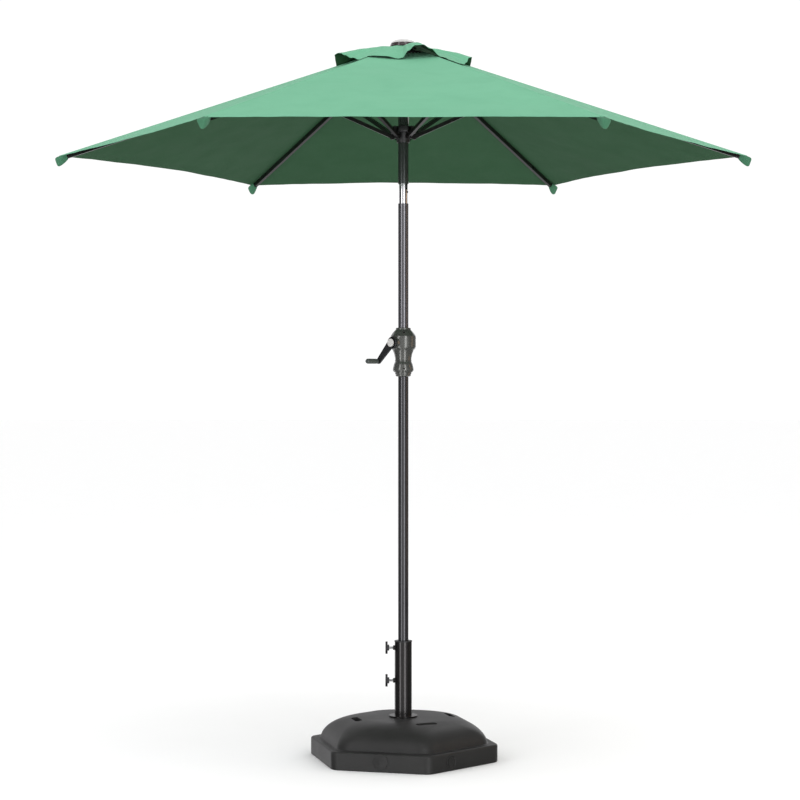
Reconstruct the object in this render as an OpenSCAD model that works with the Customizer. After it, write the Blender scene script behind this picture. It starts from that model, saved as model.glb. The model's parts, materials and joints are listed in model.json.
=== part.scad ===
// Patio umbrella with a crank lift, a tilting top and a fillable weight base.
// Millimetres. +Z is up, the origin is on the pole axis at floor level.

/* [Pole] */
// Outside diameter of the poles
pole_d = 38; // [36:0.5:40]
// Wall of the poles
pole_wall = 1.4; // [1.2:0.1:1.6]
// Height of the lower pole's foot above the floor
pole_foot_z = 30; // [28:1:40]
// Height of the joint between the lower and the middle pole
pole_joint_z = 1470; // [1468:1:1474]
// Height of the top of the middle pole
mid_pole_top_z = 2014; // [2010:1:2016]
// Height of the top of the upper pole
pole_top_z = 2590; // [2588:1:2591]

/* [Canopy] */
// Number of ribs
rib_count = 6; // [6:6]
// Distance from the pole axis to a rib tip
rib_reach = 1250; // [1200:5:1260]
// Slope of the open ribs below level
rib_slope = 17.9; // [16:0.1:19]
// Distance from the pole axis to the inner edge of the main canopy
canopy_hole_r = 150; // [140:5:160]
// Distance from the pole axis to a corner of the vent flap
vent_reach = 250; // [240:1:255]
// Height of a vent flap corner above the main canopy
vent_gap = 40; // [30:1:48]
// How far the hem draws in between two rib tips
hem_draw = 40; // [20:1:50]

/* [Hub and runner] */
// Radius of the top hub and of the runner's crown
hub_r = 46; // [45:1:47]
// Distance from the pole axis to the rib pins
rib_pin_r = 38; // [37:0.5:39]
// Height of the rib pins
rib_pin_z = 2568; // [2566:1:2569]
// Distance from the pole axis to the strut rivets on the runner
strut_pin_r = 40; // [39:0.5:41]
// Height of the strut rivets on the runner
strut_pin_z = 2256; // [2250:1:2260]
// Distance from the pole axis to the strut pins on the ribs
bracket_r = 420; // [410:5:430]

/* [Tilt joint] */
// Height of the tilt pin
tilt_z = 2080; // [2078:1:2081]
// Direction that the tilt pin faces, in degrees
tilt_azimuth = 240; // [240:240]

/* [Crank] */
// Height of the crank axis
crank_z = 1508; // [1504:1:1512]
// Direction that the crank handle faces, in degrees
crank_azimuth = 228; // [226:1:230]
// Length of the crank arm between its axle and its grip
crank_arm = 91; // [85:1:95]
// Direction of the arm below level, in degrees
crank_drop = 47; // [40:1:55]

/* [Base] */
// Distance from the pole axis to a corner of the base
base_r = 356; // [350:1:360]
// Height of the base's upright rim
rim_h = 64; // [60:1:68]
// Height of the middle of the base
base_h = 150; // [146:1:154]
// Outside diameter of the base tube
tube_d = 63; // [62:0.5:64]
// Height of the top of the base tube's cap
tube_top_z = 426; // [420:1:430]
// Heights of the two clamp knobs
knob_z = [281, 400]; // [270:410]

/* [Hidden] */
$fn = 48;

// running clearance beside a flat face, and on the radius of a pin
gap = 0.4;
pin_gap = 0.05;
pole_r = pole_d / 2;
pole_bore_r = pole_r - pole_wall;
sector = 360 / rib_count;

// ribs: a square tube with a tongue at the hub, a bracket for its strut and a tip cap
rib_w = 12;
rib_h = 16;
rib_wall = 1.2;
rib_tube_start = 16;
rib_length = (rib_reach - rib_pin_r) / cos(rib_slope);
rib_pin_rad = 2.5;
tongue_w = 6;
eye_r = 7;
bracket_drop = 18;
bracket_plate = 1.8;
bracket_x = (bracket_r - rib_pin_r + bracket_drop * sin(rib_slope)) / cos(rib_slope);

// struts: from the rib bracket down to the runner
strut_w = 12;
strut_h = 13;
strut_tongue_w = 8;
strut_top = [bracket_r, rib_pin_z - bracket_x * sin(rib_slope) - bracket_drop * cos(rib_slope)];
strut_run = strut_top.x - strut_pin_r;
strut_rise = strut_top.y - strut_pin_z;
strut_length = norm([strut_run, strut_rise]);
strut_slope = atan2(strut_rise, strut_run);
cheek_r = 9.5;
cheek_w = 3;
rivet_r = 3;
tab_w = 5.4;

// runner: a sleeve with a slotted crown, which stops below the pulley
runner_r = 23.5;
runner_bore_r = pole_r + 0.6;
runner_z = [2235, 2271, 2293];
crown_slot_w = 15;
crown_core_r = 29;

// hub
hub_half_h = 12;
hub_slot_r = 28;

// fabric lies this far above the rib pins' height, measured at the pole axis
fabric_t = 1.2;
slope_rise = tan(rib_slope);
fabric_z = rib_pin_z + rib_pin_r * slope_rise + (rib_h / 2) / cos(rib_slope) + 1.4;
seam_gap = 0.25;

// crank parts along the crank axis, measured from the pole axis
boss_end = 58;
arm_start = 60;
arm_t = 8;
grip_start = 78;
grip_end = 128;
axle_r = 5;
spool_r = 6;
cord_r = 1.5;
cord_offset = spool_r + cord_r + 0.1;

// lift cord: up inside the pole, over the pulley in the pole's wall, down to the runner
pulley_azimuth = 330;
pulley_z = 2538;
fall_r = pole_r + 2.6;
pulley_cord_r = (fall_r - cord_offset) / 2;
pulley_x = cord_offset + pulley_cord_r;
pulley_pin_r = 1.8;

// tilt joint
neck_r = 15.75;
fork_slot = 7.8;
knuckle_half = 7.5;
cord_slot = 3;
tilt_pin_r = 3.5;
button_z = 2056;
button_azimuth = tilt_azimuth + 90;
button_r = 3.4;

// base tube and clamp screws
tube_r = tube_d / 2;
tube_bore_r = 29.5;
tube_foot_z = 6;
bush_h = 18;
knob_azimuth = 180;
screw_r = 4;
knob_r = 22.5;
knob_x = 57;

// base shell
shell = 3;
corner_r = 40;
foot_inset = 34;
slot_reach = 176;
slot_azimuths = [16, 118, 196, 298];
slot_size = [24, 84];
socket_hole_r = 33;
plug_face = 315;
plug_shift = -70;
plug_r = 17;

paint = "#3f4044";
fabric_green = "#86c4a2";

// ---------- shared shapes ----------

module around(k) rotate([0, 0, sector * (k - 1)]) children();

module tube(r, inner_r, z0, z1)
    translate([0, 0, z0])
        difference() {
            cylinder(r = r, h = z1 - z0);
            translate([0, 0, -1]) cylinder(r = inner_r, h = z1 - z0 + 2);
        }

// a rod between two points
module rod(a, b, r) {
    d = b - a;
    translate(a)
        rotate([0, acos(d.z / norm(d)), atan2(d.y, d.x)])
            cylinder(r = r, h = norm(d));
}

// puts children, drawn along X from the pole axis, at a height and in a direction
module facing(azimuth, z) translate([0, 0, z]) rotate([0, 0, azimuth]) children();

// a cylinder along X from x0 to x1
module along_x(r, x0, x1) translate([x0, 0, 0]) rotate([0, 90, 0]) cylinder(r = r, h = x1 - x0);

// a cylinder along Y, centred
module across(r, w) rotate([90, 0, 0]) cylinder(r = r, h = w, center = true);

module block(x0, x1, y, z0, z1) translate([x0, -y, z0]) cube([x1 - x0, 2 * y, z1 - z0]);

// ---------- base ----------

// a hexagon with round corners: its circumradius r, its corners' radius c
function hex_outline(r, c, steps = 6) = [
    for (k = [0 : 5], s = [0 : steps])
        let (a = 165 + 60 * k, t = a - 30 + 60 * s / steps, m = r - c / cos(30))
            [m * cos(a) + c * cos(t), m * sin(a) + c * sin(t)]];

// the dome's outline at a share u of its height, from its foot to its flat top
function dome_r(u) = (base_r - foot_inset) * (1 - 0.5 * pow(u, 1.8));
function dome_corner(u) = corner_r + (dome_r(u) * cos(30) - corner_r) * (0.12 + 0.87 * pow(u, 2.2));
function dome_z(u) = rim_h + (base_h - rim_h) * sin(90 * u);

module dome(inset) {
    levels = 9;
    count = 42;
    rings = [for (n = [0 : levels]) let (u = n / levels)
        [for (p = hex_outline(dome_r(u) - inset / cos(30), dome_corner(u) - inset))
            [p.x, p.y, n == 0 ? rim_h - 8 : dome_z(u) - inset]]];
    points = [for (ring = rings) each ring];
    sides = [for (n = [0 : levels - 1], k = [0 : count - 1])
        let (m = (k + 1) % count)
            each [[n * count + k, (n + 1) * count + k, (n + 1) * count + m],
                  [n * count + k, (n + 1) * count + m, n * count + m]]];
    bottom = [for (k = [0 : count - 1]) k];
    top = [for (k = [count - 1 : -1 : 0]) levels * count + k];
    polyhedron(points, concat([bottom, top], sides));
}

module rim(inset, z0, z1)
    translate([0, 0, z0])
        linear_extrude(z1 - z0)
            polygon(hex_outline(base_r - inset / cos(30), corner_r - inset));

// hand holes with round ends, right through the base
module handle_slots(grow)
    for (a = slot_azimuths)
        facing(a, -1)
            translate([slot_reach, 0, 0]) {
                reach = (slot_size.y - slot_size.x) / 2;
                for (side = [-1, 1])
                    translate([0, side * reach, 0]) cylinder(r = slot_size.x / 2 + grow, h = base_h + 2);
                translate([-slot_size.x / 2 - grow, -reach, 0])
                    cube([slot_size.x + 2 * grow, 2 * reach, base_h + 2]);
            }

// puts children where the filler plug screws into the rim, with X pointing out
module at_plug()
    facing(plug_face, rim_h / 2) translate([base_r * cos(30), plug_shift, 0]) children();

module base_tank() color("#46484a") {
    difference() {
        union() {
            rim(0, 0, rim_h);
            dome(0);
        }
        difference() {
            union() {
                rim(shell, shell, rim_h - shell);
                dome(shell);
            }
            handle_slots(shell);
            translate([0, 0, -1]) cylinder(r = socket_hole_r + shell, h = base_h + 2);
        }
        handle_slots(0);
        translate([0, 0, -1]) cylinder(r = socket_hole_r, h = base_h + 2);
        at_plug() along_x(plug_r - 3, -8, 8);
        at_plug() along_x(plug_r + 1, -1.5, 8);
    }
}

// what the tank is filled with: sand or water, up to below the slots' top
module base_fill() color("#c8b68c")
    difference() {
        rim(shell + 0.5, shell + 0.5, rim_h - shell - 0.5);
        handle_slots(shell + 0.5);
        translate([0, 0, -1]) cylinder(r = socket_hole_r + shell + 0.5, h = base_h + 2);
        at_plug() along_x(plug_r, -22, 8);
    }

module socket_tube() color(paint)
    difference() {
        tube(tube_r, tube_bore_r, tube_foot_z, tube_top_z - 4);
        for (z = knob_z) facing(knob_azimuth, z) along_x(screw_r + gap, tube_bore_r - 3, tube_r + 3);
    }

// the floor of the socket, which the pole stands on, and the collar on the dome
module socket_flange() color(paint) {
    tube(52, tube_r + 0.1, base_h + 0.1, base_h + 5);
    translate([0, 0, tube_foot_z]) cylinder(r = tube_bore_r - 0.1, h = pole_foot_z - tube_foot_z - 0.2);
}

module socket_bush() color("#2a2b2d") {
    tube(tube_r + 1, pole_r + 0.5, tube_top_z - 3.9, tube_top_z);
    tube(tube_bore_r - 0.1, pole_r + 0.5, tube_top_z - bush_h, tube_top_z - 3.9);
    tube(tube_bore_r - 0.1, pole_r + 0.5, 150, 150 + bush_h);
}

module socket_nuts() color(paint)
    for (z = knob_z)
        facing(knob_azimuth, z)
            difference() {
                along_x(8.5, 27, tube_r + 6);
                along_x(screw_r + pin_gap, 20, tube_r + 8);
                translate([0, 0, -20]) cylinder(r = tube_r + 0.1, h = 40);
            }

module fill_plug() color("#3a3c3e")
    at_plug() {
        difference() {
            along_x(plug_r, -1.2, 1.6);
            translate([0.8, -11, -2]) cube([2, 22, 4]);
            translate([0.8, -2, -11]) cube([2, 4, 22]);
        }
        along_x(plug_r - 3.5, -7, -1.2);
    }

module knob_screw(z) color("silver")
    facing(knob_azimuth, z) along_x(screw_r, pole_r + 0.1, knob_x - 6);

module knob(z) color("#2a2b2d")
    facing(knob_azimuth, z) {
        along_x(11, knob_x - 5.9, knob_x);
        difference() {
            along_x(knob_r, knob_x, knob_x + 8);
            for (k = [0 : 5])
                rotate([60 * k + 30, 0, 0])
                    translate([0, 0, knob_r + 5]) along_x(8, knob_x - 1, knob_x + 9);
        }
    }

module lower_knob_screw() knob_screw(knob_z[0]);
module lower_knob() knob(knob_z[0]);
module upper_knob_screw() knob_screw(knob_z[1]);
module upper_knob() knob(knob_z[1]);

// ---------- mast ----------

module lower_pole() color(paint)
    tube(pole_r, pole_bore_r, pole_foot_z, pole_joint_z - 0.2);

module middle_pole() color(paint)
    difference() {
        union() {
            tube(pole_r, pole_bore_r, pole_joint_z, mid_pole_top_z);
            tube(pole_bore_r - 0.1, pole_bore_r - 2, pole_joint_z - 80, pole_joint_z + 12);
            tube(pole_r, pole_bore_r - 2, pole_joint_z, pole_joint_z + 12);
        }
        facing(crank_azimuth, crank_z) along_x(axle_r + 2.1, -pole_r - 2, pole_r + 2);
    }

// half profile of the crank housing: radius and height, from the top down
housing_profile = [
    [26, 1563], [27.5, 1561], [27.5, 1557], [30, 1554], [36, 1548], [41, 1541], [45.6, 1534],
    [46.4, 1530], [46.4, 1495], [44.5, 1489], [38.5, 1482], [33, 1468], [29.8, 1452],
    [29.8, 1446], [31, 1443.5], [29.8, 1441], [34, 1431], [37.5, 1417], [38.3, 1409],
    [34, 1402.5], [30, 1401], [30, 1396], [28, 1394], [28, 1389], [24, 1386]];

module housing_solid() {
    rotate_extrude() polygon(concat([[pole_r + 0.1, 1386]], [[pole_r + 0.1, 1563]], housing_profile));
    facing(crank_azimuth, crank_z) along_x(21, 20, boss_end - 4);
    facing(crank_azimuth, crank_z) along_x(18, boss_end - 4.1, boss_end);
}

module housing_cavity() {
    translate([0, 0, 1488]) cylinder(r = 40, h = 42);
    translate([0, 0, 1404]) cylinder(r = 31, h = 32);
    facing(crank_azimuth, crank_z) along_x(14, 20, boss_end - 6);
}

module housing_shell()
    difference() {
        union() {
            difference() {
                housing_solid();
                housing_cavity();
            }
            // bearing blocks for the crank axle
            intersection() {
                housing_solid();
                facing(crank_azimuth, crank_z) {
                    block(pole_r + 0.6, 26, 45, -9, 9);
                    along_x(14.5, boss_end - 14, boss_end - 5);
                    along_x(11, -41, -pole_r - 0.6);
                }
            }
        }
        cylinder(r = pole_r + 0.1, h = 2000);
        facing(crank_azimuth, crank_z) along_x(axle_r + 2.1, -36, boss_end + 5);
        housing_screw_line() along_x(2.6, -60, 60);
    }

// puts children on each cover screw's axis
module housing_screw_line()
    for (side = [-1, 1], z = [1545, 1416])
        facing(crank_azimuth, z) translate([0, side * 26, 0]) children();

module crank_front_cover() color("#77797b")
    difference() {
        housing_shell();
        facing(crank_azimuth, 1300) translate([-200, -100, 0]) cube([200, 200, 400]);
    }

module crank_rear_cover() color("#77797b")
    intersection() {
        housing_shell();
        facing(crank_azimuth, 1300) translate([-200.1, -100, 0]) cube([200, 200, 400]);
    }

module crank_cover_screws() color("silver")
    housing_screw_line() along_x(2.5, -14, 14);

module crank_bushes() color("#d8d6cc")
    facing(crank_azimuth, crank_z)
        for (x = [[pole_r + 1, 25.5], [boss_end - 13.5, boss_end - 5.5], [-35.5, -pole_r - 1]])
            difference() {
                along_x(axle_r + 2, x[0], x[1]);
                along_x(axle_r + pin_gap, x[0] - 1, x[1] + 1);
            }

// the chrome neck that carries the tilt pin
module tilt_fork() color("silver")
    difference() {
        union() {
            translate([0, 0, mid_pole_top_z]) cylinder(r = neck_r, h = tilt_z - mid_pole_top_z);
            translate([0, 0, 1960]) cylinder(r = pole_bore_r - 0.1, h = mid_pole_top_z - 1960 + 0.5);
            intersection() {
                facing(tilt_azimuth, tilt_z) along_x(neck_r, -neck_r, neck_r);
                // flat-topped, so that the upper pole clears it as it tilts
                translate([0, 0, tilt_z - 5]) cylinder(r = neck_r, h = 14);
            }
        }
        facing(tilt_azimuth, 0) translate([-fork_slot, -30, tilt_z - 16]) cube([2 * fork_slot, 60, 60]);
        facing(tilt_azimuth, tilt_z) along_x(tilt_pin_r + pin_gap, -20, 20);
        facing(pulley_azimuth, 1900) translate([cord_offset, 0, 0]) cylinder(r = 3, h = 200);
        facing(button_azimuth, button_z) along_x(button_r + 0.5, -2.6, 20);
    }

// points on the cord's way up: the spool, the tilt joint and the pulley
function beside_axis(azimuth, z) = [cord_offset * cos(azimuth), cord_offset * sin(azimuth), z];
cord_spool_point = beside_axis(crank_azimuth + 90, crank_z);
cord_tilt_point = beside_axis(pulley_azimuth, tilt_z);
cord_pulley_point = [cord_tilt_point.x, cord_tilt_point.y, pulley_z];

module lift_cord_lower() color("white")
    rod(cord_spool_point, cord_tilt_point - [0, 0, 0.3], cord_r);

// ---------- crank ----------

module crank_axle() color("silver")
    facing(crank_azimuth, crank_z)
        difference() {
            along_x(axle_r, -35, arm_start + arm_t);
            along_x(1.6, -10, 10);
        }

module cord_spool() color("#d8d6cc")
    facing(crank_azimuth, crank_z)
        difference() {
            union() {
                along_x(spool_r, -8, 8);
                along_x(12.5, -8, -6);
                along_x(12.5, 6, 8);
            }
            along_x(axle_r + 0.02, -20, 20);
        }

// the arm's plane faces out along the crank axis
module in_arm_plane(x0)
    facing(crank_azimuth, crank_z) translate([x0, 0, 0]) rotate([crank_drop, 0, 0]) children();

module crank_handle() color("#1d1e20") {
    difference() {
        union() {
            in_arm_plane(arm_start)
                hull() {
                    along_x(15, 0, arm_t);
                    translate([0, -crank_arm, 0]) along_x(9.5, 1, arm_t);
                }
            in_arm_plane(boss_end + 0.5) along_x(15, 0, 2);
            in_arm_plane(0) translate([0, -crank_arm, 0]) along_x(4, arm_start + 1, grip_end - 2);
        }
        facing(crank_azimuth, crank_z) along_x(axle_r + 0.02, 0, arm_start + arm_t + 0.1);
    }
}

module crank_cap() color("#e9e7e2")
    facing(crank_azimuth, crank_z) along_x(14.5, arm_start + arm_t + 0.1, arm_start + arm_t + 2.5);

module crank_grip() color("#4b5350")
    in_arm_plane(0)
        translate([0, -crank_arm, 0])
            rotate([0, 90, 0])
                rotate_extrude()
                    polygon([[4.1, grip_start - 7], [7.4, grip_start - 7], [8.6, grip_start - 3],
                             [9.3, grip_start + 8], [9.3, grip_end - 10], [8.8, grip_end - 3],
                             [7, grip_end], [0, grip_end], [0, grip_end - 1.9], [4.1, grip_end - 1.9]]);

// ---------- tilting top ----------

module tilt_knuckle() color("#3a3b3e")
    difference() {
        union() {
            translate([0, 0, tilt_z + 18]) cylinder(r = pole_bore_r - 0.1, h = 34);
            intersection() {
                facing(tilt_azimuth, tilt_z) {
                    along_x(12, -knuckle_half, knuckle_half);
                    translate([-knuckle_half, -12, 0]) cube([2 * knuckle_half, 24, 20]);
                }
                translate([0, 0, tilt_z - 20]) cylinder(r = 15.4, h = 60);
            }
        }
        facing(tilt_azimuth, tilt_z) along_x(tilt_pin_r + pin_gap, -20, 20);
        facing(tilt_azimuth, tilt_z) translate([-cord_slot, -20, -20]) cube([2 * cord_slot, 40, 36]);
        facing(pulley_azimuth, tilt_z) translate([cord_offset, 0, 0]) cylinder(r = 3, h = 60);
    }

module tilt_pin() color("silver")
    facing(tilt_azimuth, tilt_z) along_x(tilt_pin_r, -15, 15);

module upper_pole() color(paint)
    difference() {
        tube(pole_r, pole_bore_r, tilt_z + 6, pole_top_z);
        facing(pulley_azimuth, pulley_z) {
            translate([8, -4, -13]) cube([20, 8, 24]);
            translate([pulley_x, 0, 0]) across(pulley_pin_r + pin_gap, 2 * pole_d);
        }
    }

module top_hub() color("#2e2f32")
    difference() {
        translate([0, 0, rib_pin_z - hub_half_h]) cylinder(r = hub_r, h = 2 * hub_half_h);
        translate([0, 0, 2500]) cylinder(r = pole_r + 0.1, h = 100);
        for (k = [1 : rib_count]) around(k) {
            translate([0, 0, rib_pin_z]) block(hub_slot_r, hub_r + 5, tongue_w / 2 + gap, -20, 20);
            translate([rib_pin_r, 0, rib_pin_z]) across(rib_pin_rad + pin_gap, 26);
        }
    }

module hub_pins() color("silver") {
    for (k = [1 : rib_count]) around(k) translate([rib_pin_r, 0, rib_pin_z]) across(rib_pin_rad, 24);
    facing(pulley_azimuth, pulley_z) translate([pulley_x, 0, 0]) across(pulley_pin_r, 24);
}

module finial() color("#4c4f4e") {
    rotate_extrude()
        polygon([[0, 2591], [19.3, 2591], [19.3, 2581.2], [46.5, 2581.2], [48, 2583], [48, 2587],
                 [46.5, 2589], [46, 2593], [42, 2599.5], [35, 2604], [25, 2606.8], [12, 2608], [0, 2608]]);
    translate([0, 0, 2560]) cylinder(r = pole_bore_r - 0.2, h = 31.5);
}

module lift_cord_upper() color("white") {
    rod(cord_tilt_point + [0, 0, 0.3], cord_pulley_point - [0, 0, 0.05], cord_r);
    facing(pulley_azimuth, pulley_z)
        translate([pulley_x, 0, 0])
            rotate([90, 0, 0])
                rotate_extrude(angle = 180)
                    translate([pulley_cord_r, 0]) circle(r = cord_r);
}

module lift_cord_fall() color("white")
    facing(pulley_azimuth, runner_z[2] + 0.1)
        translate([fall_r, 0, 0]) cylinder(r = cord_r, h = pulley_z - runner_z[2] - 0.2);

module tilt_button() color("#1d1e20")
    facing(button_azimuth, button_z)
        difference() {
            along_x(button_r, 4.2, 18.6);
            // the lift cord passes between the button's two prongs
            translate([5.7, -cord_r - 0.4, -button_r - 1])
                cube([6.9, 2 * cord_r + 0.8, 2 * button_r + 2]);
        }

// a coil of wire along X: its radius, its length and its wire's radius
module coil(r, length, turns, wire, steps = 10, sides = 6) {
    last = turns * steps;
    points = [for (m = [0 : last], j = [0 : sides - 1])
        let (a = 360 * m / steps, b = 360 * j / sides, q = r + wire * cos(b))
            [length * m / last + wire * sin(b), q * cos(a), q * sin(a)]];
    skin = [for (m = [0 : last - 1], j = [0 : sides - 1])
        let (n = (j + 1) % sides, p = m * sides, q = p + sides)
            each [[p + j, q + n, q + j], [p + j, p + n, q + n]]];
    ends = [[for (j = [sides - 1 : -1 : 0]) j], [for (j = [0 : sides - 1]) last * sides + j]];
    polyhedron(points, concat(skin, ends));
}

module tilt_spring() color("silver")
    facing(button_azimuth, button_z) translate([-1.7, 0, 0]) coil(2.8, 5.2, 4, 0.5);

module top_pulley() color("#d8d6cc")
    facing(pulley_azimuth, pulley_z)
        translate([pulley_x, 0, 0])
            rotate([90, 0, 0])
                rotate_extrude()
                    polygon([[1.9, -3], [7.2, -3], [7.2, -2.4], [pulley_cord_r - cord_r - 0.1, -1.6],
                             [pulley_cord_r - cord_r - 0.1, 1.6], [7.2, 2.4], [7.2, 3], [1.9, 3]]);

// ---------- runner and linkage ----------

module runner() color("#35363a")
    difference() {
        union() {
            tube(runner_r, runner_bore_r, runner_z[0], runner_z[1]);
            difference() {
                tube(hub_r, runner_bore_r, runner_z[1], runner_z[2]);
                for (k = [1 : rib_count]) around(k)
                    block(crown_core_r, hub_r + 5, crown_slot_w / 2, runner_z[1] - 1, runner_z[2] + 1);
            }
            for (k = [1 : rib_count]) around(k)
                translate([0, 0, strut_pin_z]) runner_tab();
        }
        translate([0, 0, runner_z[0] - 1]) cylinder(r = runner_bore_r, h = 60);
        facing(pulley_azimuth, runner_z[2] - 6) translate([fall_r, 0, 0]) cylinder(r = 1.2, h = 10);
    }

// a tab in the strut's fork, with an open slot under the rivet
module runner_tab()
    difference() {
        union() {
            block(runner_r - 2, strut_pin_r, tab_w / 2, -5, cheek_r - 2);
            translate([strut_pin_r, 0, 0]) across(cheek_r - 2, tab_w);
        }
        block(strut_pin_r - rivet_r - gap, strut_pin_r + rivet_r + 1.2, tab_w, -30, 0);
        translate([strut_pin_r + 0.4, 0, 0]) across(rivet_r + 0.8, tab_w * 2);
    }

// the rib's own frame: X from its pin towards its tip, Z across it
module rib_frame(k)
    around(k) translate([rib_pin_r, 0, rib_pin_z]) rotate([0, rib_slope, 0]) children();

module rib(k) {
    color(paint)
        rib_frame(k)
            difference() {
                union() {
                    across(eye_r, tongue_w);
                    block(0, rib_tube_start + 2, tongue_w / 2, -eye_r, eye_r);
                    difference() {
                        block(rib_tube_start, rib_length - 12, rib_w / 2, -rib_h / 2, rib_h / 2);
                        block(rib_tube_start + 3, rib_length, rib_w / 2 - rib_wall,
                              -rib_h / 2 + rib_wall, rib_h / 2 - rib_wall);
                    }
                    for (side = [-1, 1])
                        translate([bracket_x, side * (strut_tongue_w / 2 + gap + bracket_plate / 2), 0])
                            bracket_cheek();
                }
                across(rib_pin_rad + pin_gap, tongue_w + 4);
                translate([bracket_x, 0, -bracket_drop]) across(rib_pin_rad + pin_gap, rib_w * 2);
            }
    color("silver")
        rib_frame(k) translate([bracket_x, 0, -bracket_drop]) across(rib_pin_rad, 16);
    color("#2a2b2d")
        rib_frame(k) {
            block(rib_length - 11.9, rib_length, rib_w / 2 + 0.5, -rib_h / 2 - 0.5, rib_h / 2);
            block(rib_length - 40, rib_length - 11.9, rib_w / 2 - rib_wall - 0.1,
                  -rib_h / 2 + rib_wall + 0.1, rib_h / 2 - rib_wall - 0.1);
        }
}

module bracket_cheek() {
    translate([0, 0, -bracket_drop]) across(8, bracket_plate);
    block(-12, 12, bracket_plate / 2, -rib_h / 2 - 3, -rib_h / 2 + 3);
    block(-8, 8, bracket_plate / 2, -bracket_drop, -rib_h / 2);
}

// the strut's own frame: X from its upper pin towards the runner
module strut_frame(k)
    around(k) translate([strut_top.x, 0, strut_top.y]) rotate([0, 180 - strut_slope, 0]) children();

module strut(k) {
    color(paint)
        strut_frame(k)
            difference() {
                union() {
                    across(eye_r, strut_tongue_w);
                    block(0, 16, strut_tongue_w / 2, -5, 5);
                    difference() {
                        block(14, strut_length - 14, strut_w / 2, -strut_h / 2, strut_h / 2);
                        block(17, strut_length - 17, strut_w / 2 - rib_wall,
                              -strut_h / 2 + rib_wall, strut_h / 2 - rib_wall);
                    }
                    for (side = [-1, 1]) translate([0, side * (tab_w / 2 + 0.3 + cheek_w / 2), 0]) {
                        translate([strut_length, 0, 0]) across(cheek_r, cheek_w);
                        block(strut_length - 15, strut_length, cheek_w / 2, -strut_h / 2, strut_h / 2);
                    }
                }
                across(rib_pin_rad + pin_gap, 20);
                translate([strut_length, 0, 0]) across(rivet_r + pin_gap, 20);
            }
    color("silver")
        strut_frame(k)
            translate([strut_length, 0, 0]) {
                across(rivet_r, 13.4);
                for (side = [-1, 1]) translate([0, side * 6.8, 0]) across(4, 1.2);
            }
}

// ---------- canopy ----------

// height of the fabric's underside at distance x along a rib's direction and y to its side
function fabric_height(x, y) =
    fabric_z - slope_rise / cos(sector / 2) * (x * cos(sector / 2) + abs(y) * sin(sector / 2));

// the hem's distance from the pole axis at an angle away from the rib
function hem_r(a) =
    let (t = a / (sector / 2), chord = rib_reach * cos(sector / 2) / cos(sector / 2 - abs(a)))
        chord - hem_draw * (1 - pow(1 - abs(t), 2));

// a closed sheet over one rib, out to the middle of the panel on each side
module sheet_sector(k, r_in, hem, height, rows, cols) {
    half = sector / 2;
    grid = [for (m = [0 : rows], n = [0 : cols])
        let (a = -half + sector * n / cols,
             inner = r_in * cos(half) / cos(half - abs(a)),
             r = inner + (hem[n] - inner) * m / rows,
             trim = abs(a) == half ? seam_gap : 0,
             x = r * cos(a),
             y = r * sin(a) - sign(a) * trim)
            [x, y, height[m][n]]];
    size = (rows + 1) * (cols + 1);
    points = concat(grid, [for (p = grid) p + [0, 0, fabric_t]]);
    function id(m, n) = m * (cols + 1) + n;
    under = [for (m = [0 : rows - 1], n = [0 : cols - 1]) each
        [[id(m, n), id(m, n + 1), id(m + 1, n + 1)], [id(m, n), id(m + 1, n + 1), id(m + 1, n)]]];
    over = [for (f = under) [f[2] + size, f[1] + size, f[0] + size]];
    edge = concat(
        [for (n = [0 : cols - 1]) [id(0, n), id(0, n + 1)]],
        [for (m = [0 : rows - 1]) [id(m, cols), id(m + 1, cols)]],
        [for (n = [cols : -1 : 1]) [id(rows, n), id(rows, n - 1)]],
        [for (m = [rows : -1 : 1]) [id(m, 0), id(m - 1, 0)]]);
    walls = [for (e = edge) each [[e[1], e[0], e[0] + size], [e[1], e[0] + size, e[1] + size]]];
    around(k) polyhedron(points, [for (f = concat(under, over, walls)) [f[2], f[1], f[0]]]);
}

canopy_rows = 3;
canopy_cols = 8;

module canopy(k) color(fabric_green) {
    hem = [for (n = [0 : canopy_cols]) hem_r(-sector / 2 + sector * n / canopy_cols)];
    height = [for (m = [0 : canopy_rows]) [for (n = [0 : canopy_cols])
        let (a = -sector / 2 + sector * n / canopy_cols,
             inner = canopy_hole_r * cos(sector / 2) / cos(sector / 2 - abs(a)),
             r = inner + (hem[n] - inner) * m / canopy_rows)
            fabric_height(r * cos(a), r * sin(a))]];
    sheet_sector(k, canopy_hole_r, hem, height, canopy_rows, canopy_cols);
    // the pocket over the rib's tip
    rib_frame(k)
        difference() {
            block(rib_length - 30, rib_length + 12, rib_w / 2 + 5, -rib_h / 2 - 22, rib_h / 2 + 0.4);
            block(rib_length - 31, rib_length + 8, rib_w / 2 + 1.5, -rib_h / 2 - 23, rib_h / 2 + 0.5);
        }
}

vent_inner_r = 57;
vent_inner_z = 2581.5;

module vent_flap(k) color(fabric_green) {
    cols = 8;
    hem = [for (n = [0 : cols])
        vent_reach * cos(sector / 2) / cos(sector / 2 - abs(-sector / 2 + sector * n / cols))];
    outer_z = fabric_height(vent_reach, 0) + vent_gap;
    height = [for (m = [0 : 2]) [for (n = [0 : cols]) vent_inner_z + (outer_z - vent_inner_z) * m / 2]];
    sheet_sector(k, vent_inner_r, hem, height, 2, cols);
}

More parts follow.
